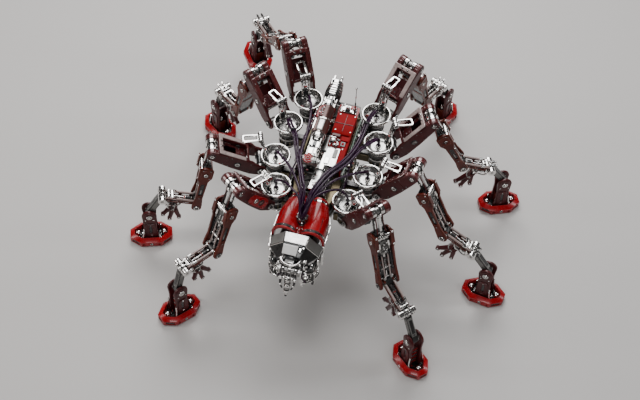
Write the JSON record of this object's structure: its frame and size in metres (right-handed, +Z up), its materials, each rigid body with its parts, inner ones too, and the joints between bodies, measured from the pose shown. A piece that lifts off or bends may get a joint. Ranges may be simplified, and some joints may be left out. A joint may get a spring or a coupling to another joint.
{
  "type": "eight-legged walking robot",
  "caption": "Walking spider robot with a low thorax, faceted head pod with a jaw, tilting rear barrel, cable loom and jointed legs ending in oblong ring feet.",
  "frame": {"origin": "on the ground, under the middle of the bounding box of the standing pose", "axes": "+Z up, head towards -Y, the robot's left side towards +X"},
  "size_m": [0.7046, 0.6714, 0.299],
  "materials": {
    "maroon_paint": "gloss",
    "red_paint": "gloss",
    "chrome_plate": "polished",
    "dark_metal": "satin",
    "cable_sleeve": "satin",
    "board_green": "satin"
  },
  "bodies": {
    "chassis": {"chassis": "dark_metal", "spine_housing": "chrome_plate", "control_board": "board_green", "hood_shell": "red_paint", "head_pod": "chrome_plate", "barrel_cradle": "dark_metal", "side_cover": "red_paint", "tail_block": "chrome_plate", "antenna": "dark_metal", "cable_loom": "cable_sleeve"},
    "jaw": {"jaw": "chrome_plate"},
    "rear_barrel": {"rear_barrel": "chrome_plate"},
    "coxa_L1": {"coxa_L1": "chrome_plate"},
    "femur_L1": {"femur_L1": "maroon_paint"},
    "tibia_L1": {"tibia_L1": "maroon_paint"},
    "shin_L1": {"shin_L1": "maroon_paint"},
    "tarsus_L1": {"tarsus_L1": "dark_metal"},
    "foot_L1": {"foot_L1": "red_paint"},
    "coxa_L2": {"coxa_L2": "chrome_plate"},
    "femur_L2": {"femur_L2": "maroon_paint"},
    "tibia_L2": {"tibia_L2": "maroon_paint"},
    "shin_L2": {"shin_L2": "maroon_paint"},
    "tarsus_L2": {"tarsus_L2": "dark_metal"},
    "foot_L2": {"foot_L2": "red_paint"},
    "coxa_L3": {"coxa_L3": "chrome_plate"},
    "femur_L3": {"femur_L3": "maroon_paint"},
    "tibia_L3": {"tibia_L3": "maroon_paint"},
    "shin_L3": {"shin_L3": "maroon_paint"},
    "tarsus_L3": {"tarsus_L3": "dark_metal"},
    "foot_L3": {"foot_L3": "red_paint"},
    "coxa_L4": {"coxa_L4": "chrome_plate"},
    "femur_L4": {"femur_L4": "maroon_paint"},
    "tibia_L4": {"tibia_L4": "maroon_paint"},
    "shin_L4": {"shin_L4": "maroon_paint"},
    "tarsus_L4": {"tarsus_L4": "dark_metal"},
    "foot_L4": {"foot_L4": "red_paint"},
    "coxa_R1": {"coxa_R1": "chrome_plate"},
    "femur_R1": {"femur_R1": "maroon_paint"},
    "tibia_R1": {"tibia_R1": "maroon_paint"},
    "shin_R1": {"shin_R1": "maroon_paint"},
    "tarsus_R1": {"tarsus_R1": "dark_metal"},
    "foot_R1": {"foot_R1": "red_paint"},
    "coxa_R2": {"coxa_R2": "chrome_plate"},
    "femur_R2": {"femur_R2": "maroon_paint"},
    "tibia_R2": {"tibia_R2": "maroon_paint"},
    "shin_R2": {"shin_R2": "maroon_paint"},
    "tarsus_R2": {"tarsus_R2": "dark_metal"},
    "foot_R2": {"foot_R2": "red_paint"},
    "coxa_R3": {"coxa_R3": "chrome_plate"},
    "femur_R3": {"femur_R3": "maroon_paint"},
    "tibia_R3": {"tibia_R3": "maroon_paint"},
    "shin_R3": {"shin_R3": "maroon_paint"},
    "tarsus_R3": {"tarsus_R3": "dark_metal"},
    "foot_R3": {"foot_R3": "red_paint"},
    "coxa_R4": {"coxa_R4": "chrome_plate"},
    "femur_R4": {"femur_R4": "maroon_paint"},
    "tibia_R4": {"tibia_R4": "maroon_paint"},
    "shin_R4": {"shin_R4": "maroon_paint"},
    "tarsus_R4": {"tarsus_R4": "dark_metal"},
    "foot_R4": {"foot_R4": "red_paint"}
  },
  "joints": [
    {"name": "yaw_L1", "type": "hinge", "parent": "chassis", "child": "coxa_L1", "pos_m": [0.05231, -0.13691, 0.218], "axis": [0, 0, 1], "range_deg": [-15, 15]},
    {"name": "hip_L1", "type": "hinge", "parent": "coxa_L1", "child": "femur_L1", "pos_m": [0.07308, -0.15568, 0.204], "axis": [-0.6704, -0.742, 0], "range_deg": [-71, 16]},
    {"name": "knee_L1", "type": "hinge", "parent": "femur_L1", "child": "tibia_L1", "pos_m": [0.11291, -0.19167, 0.28359], "axis": [-0.6704, -0.742, 0], "range_deg": [-14, 81]},
    {"name": "shin_L1", "type": "hinge", "parent": "tibia_L1", "child": "shin_L1", "pos_m": [0.15062, -0.22574, 0.14246], "axis": [0.6704, 0.742, 0], "range_deg": [-75, 45]},
    {"name": "ankle_L1", "type": "hinge", "parent": "shin_L1", "child": "tarsus_L1", "pos_m": [0.19448, -0.26538, 0.1207], "axis": [0.6704, 0.742, 0], "range_deg": [-43, 50]},
    {"name": "foot_L1", "type": "hinge", "parent": "tarsus_L1", "child": "foot_L1", "pos_m": [0.21583, -0.28466, 0.075], "axis": [0.6704, 0.742, 0], "range_deg": [-62, 13]},
    {"name": "yaw_L2", "type": "hinge", "parent": "chassis", "child": "coxa_L2", "pos_m": [0.07231, -0.07191, 0.218], "axis": [0, 0, 1], "range_deg": [-15, 15]},
    {"name": "hip_L2", "type": "hinge", "parent": "coxa_L2", "child": "femur_L2", "pos_m": [0.10002, -0.07591, 0.204], "axis": [-0.1426, -0.9898, 0], "range_deg": [-68, 19]},
    {"name": "knee_L2", "type": "hinge", "parent": "femur_L2", "child": "tibia_L2", "pos_m": [0.15747, -0.08418, 0.28047], "axis": [-0.1426, -0.9898, 0], "range_deg": [-24, 71]},
    {"name": "shin_L2", "type": "hinge", "parent": "tibia_L2", "child": "shin_L2", "pos_m": [0.22418, -0.0938, 0.14646], "axis": [0.1426, 0.9898, 0], "range_deg": [-89, 31]},
    {"name": "ankle_L2", "type": "hinge", "parent": "shin_L2", "child": "tarsus_L2", "pos_m": [0.27969, -0.1018, 0.11776], "axis": [0.1426, 0.9898, 0], "range_deg": [-30, 63]},
    {"name": "foot_L2", "type": "hinge", "parent": "tarsus_L2", "child": "foot_L2", "pos_m": [0.31233, -0.1065, 0.075], "axis": [0.1426, 0.9898, 0], "range_deg": [-68, 7]},
    {"name": "yaw_L3", "type": "hinge", "parent": "chassis", "child": "coxa_L3", "pos_m": [0.07231, 0.00809, 0.218], "axis": [0, 0, 1], "range_deg": [-15, 15]},
    {"name": "hip_L3", "type": "hinge", "parent": "coxa_L3", "child": "femur_L3", "pos_m": [0.09791, 0.01943, 0.204], "axis": [0.4051, -0.9143, 0], "range_deg": [-64, 23]},
    {"name": "knee_L3", "type": "hinge", "parent": "femur_L3", "child": "tibia_L3", "pos_m": [0.15537, 0.0449, 0.27656], "axis": [0.4051, -0.9143, 0], "range_deg": [-28, 67]},
    {"name": "shin_L3", "type": "hinge", "parent": "tibia_L3", "child": "shin_L3", "pos_m": [0.21827, 0.07277, 0.14327], "axis": [-0.4051, 0.9143, 0], "range_deg": [-85, 35]},
    {"name": "ankle_L3", "type": "hinge", "parent": "shin_L3", "child": "tarsus_L3", "pos_m": [0.27141, 0.09632, 0.11896], "axis": [-0.4051, 0.9143, 0], "range_deg": [-37, 56]},
    {"name": "foot_L3", "type": "hinge", "parent": "tarsus_L3", "child": "foot_L3", "pos_m": [0.30008, 0.10902, 0.075], "axis": [-0.4051, 0.9143, 0], "range_deg": [-66, 9]},
    {"name": "yaw_L4", "type": "hinge", "parent": "chassis", "child": "coxa_L4", "pos_m": [0.05231, 0.07309, 0.218], "axis": [0, 0, 1], "range_deg": [-15, 15]},
    {"name": "hip_L4", "type": "hinge", "parent": "coxa_L4", "child": "femur_L4", "pos_m": [0.06334, 0.09882, 0.204], "axis": [0.9191, -0.3939, 0], "range_deg": [-57, 30]},
    {"name": "knee_L4", "type": "hinge", "parent": "femur_L4", "child": "tibia_L4", "pos_m": [0.09153, 0.1646, 0.26799], "axis": [0.9191, -0.3939, 0], "range_deg": [-29, 66]},
    {"name": "shin_L4", "type": "hinge", "parent": "tibia_L4", "child": "shin_L4", "pos_m": [0.11203, 0.21243, 0.1273], "axis": [-0.9191, 0.3939, 0], "range_deg": [-61, 59]},
    {"name": "ankle_L4", "type": "hinge", "parent": "shin_L4", "child": "tarsus_L4", "pos_m": [0.13672, 0.27004, 0.12094], "axis": [-0.9191, 0.3939, 0], "range_deg": [-57, 36]},
    {"name": "foot_L4", "type": "hinge", "parent": "tarsus_L4", "child": "foot_L4", "pos_m": [0.14791, 0.29613, 0.075], "axis": [-0.9191, 0.3939, 0], "range_deg": [-62, 13]},
    {"name": "yaw_R1", "type": "hinge", "parent": "chassis", "child": "coxa_R1", "pos_m": [-0.07569, -0.13691, 0.218], "axis": [0, 0, 1], "range_deg": [-15, 15]},
    {"name": "hip_R1", "type": "hinge", "parent": "coxa_R1", "child": "femur_R1", "pos_m": [-0.09335, -0.15864, 0.204], "axis": [-0.776, 0.6307, 0], "range_deg": [-67, 20]},
    {"name": "knee_R1", "type": "hinge", "parent": "femur_R1", "child": "tibia_R1", "pos_m": [-0.13096, -0.20492, 0.27923], "axis": [-0.776, 0.6307, 0], "range_deg": [-16, 79]},
    {"name": "shin_R1", "type": "hinge", "parent": "tibia_R1", "child": "shin_R1", "pos_m": [-0.16019, -0.24089, 0.13658], "axis": [0.776, -0.6307, 0], "range_deg": [-61, 59]},
    {"name": "ankle_R1", "type": "hinge", "parent": "shin_R1", "child": "tarsus_R1", "pos_m": [-0.1995, -0.28926, 0.12737], "axis": [0.776, -0.6307, 0], "range_deg": [-72, 21]},
    {"name": "foot_R1", "type": "hinge", "parent": "tarsus_R1", "child": "foot_R1", "pos_m": [-0.20779, -0.29947, 0.075], "axis": [0.776, -0.6307, 0], "range_deg": [-44, 31]},
    {"name": "yaw_R2", "type": "hinge", "parent": "chassis", "child": "coxa_R2", "pos_m": [-0.09569, -0.07191, 0.218], "axis": [0, 0, 1], "range_deg": [-15, 15]},
    {"name": "hip_R2", "type": "hinge", "parent": "coxa_R2", "child": "femur_R2", "pos_m": [-0.12187, -0.08186, 0.204], "axis": [-0.3551, 0.9348, 0], "range_deg": [-44, 43]},
    {"name": "knee_R2", "type": "hinge", "parent": "femur_R2", "child": "tibia_R2", "pos_m": [-0.20043, -0.1117, 0.2504], "axis": [-0.3551, 0.9348, 0], "range_deg": [-34, 61]},
    {"name": "shin_R2", "type": "hinge", "parent": "tibia_R2", "child": "shin_R2", "pos_m": [-0.23126, -0.12341, 0.10407], "axis": [0.3551, -0.9348, 0], "range_deg": [-31, 89]},
    {"name": "ankle_R2", "type": "hinge", "parent": "shin_R2", "child": "tarsus_R2", "pos_m": [-0.2877, -0.14485, 0.12206], "axis": [0.3551, -0.9348, 0], "range_deg": [-82, 11]},
    {"name": "foot_R2", "type": "hinge", "parent": "tarsus_R2", "child": "foot_R2", "pos_m": [-0.31245, -0.15425, 0.075], "axis": [0.3551, -0.9348, 0], "range_deg": [-59, 16]},
    {"name": "yaw_R3", "type": "hinge", "parent": "chassis", "child": "coxa_R3", "pos_m": [-0.09569, 0.00809, 0.218], "axis": [0, 0, 1], "range_deg": [-15, 15]},
    {"name": "hip_R3", "type": "hinge", "parent": "coxa_R3", "child": "femur_R3", "pos_m": [-0.11826, 0.02466, 0.204], "axis": [0.592, 0.8059, 0], "range_deg": [-60, 27]},
    {"name": "knee_R3", "type": "hinge", "parent": "femur_R3", "child": "tibia_R3", "pos_m": [-0.17316, 0.06499, 0.27164], "axis": [0.592, 0.8059, 0], "range_deg": [-23, 72]},
    {"name": "shin_R3", "type": "hinge", "parent": "tibia_R3", "child": "shin_R3", "pos_m": [-0.20971, 0.09184, 0.12867], "axis": [-0.592, -0.8059, 0], "range_deg": [-54, 66]},
    {"name": "ankle_R3", "type": "hinge", "parent": "shin_R3", "child": "tarsus_R3", "pos_m": [-0.26047, 0.12913, 0.12746], "axis": [-0.592, -0.8059, 0], "range_deg": [-80, 13]},
    {"name": "foot_R3", "type": "hinge", "parent": "tarsus_R3", "child": "foot_R3", "pos_m": [-0.2708, 0.13672, 0.075], "axis": [-0.592, -0.8059, 0], "range_deg": [-44, 31]},
    {"name": "yaw_R4", "type": "hinge", "parent": "chassis", "child": "coxa_R4", "pos_m": [-0.07569, 0.07309, 0.218], "axis": [0, 0, 1], "range_deg": [-15, 15]},
    {"name": "hip_R4", "type": "hinge", "parent": "coxa_R4", "child": "femur_R4", "pos_m": [-0.09235, 0.0956, 0.204], "axis": [0.8039, 0.5948, 0], "range_deg": [-73, 14]},
    {"name": "knee_R4", "type": "hinge", "parent": "femur_R4", "child": "tibia_R4", "pos_m": [-0.12235, 0.13615, 0.28568], "axis": [0.8039, 0.5948, 0], "range_deg": [-44, 51]},
    {"name": "shin_R4", "type": "hinge", "parent": "tibia_R4", "child": "shin_R4", "pos_m": [-0.19266, 0.23116, 0.19333], "axis": [-0.8039, -0.5948, 0], "range_deg": [-101, 19]},
    {"name": "ankle_R4", "type": "hinge", "parent": "shin_R4", "child": "tarsus_R4", "pos_m": [-0.22899, 0.28026, 0.17787], "axis": [-0.8039, -0.5948, 0], "range_deg": [-69, 24]},
    {"name": "foot_R4", "type": "hinge", "parent": "tarsus_R4", "child": "foot_R4", "pos_m": [-0.23578, 0.28943, 0.12509], "axis": [-0.8039, -0.5948, 0], "range_deg": [-35, 40]},
    {"name": "jaw_swing", "type": "hinge", "parent": "chassis", "child": "jaw", "pos_m": [-0.01169, -0.27191, 0.172], "axis": [-1, 0, 0], "range_deg": [-15, 30]},
    {"name": "barrel_elevation", "type": "hinge", "parent": "chassis", "child": "rear_barrel", "pos_m": [-0.02869, -0.09391, 0.252], "axis": [1, 0, 0], "range_deg": [0, 25]}
  ]
}
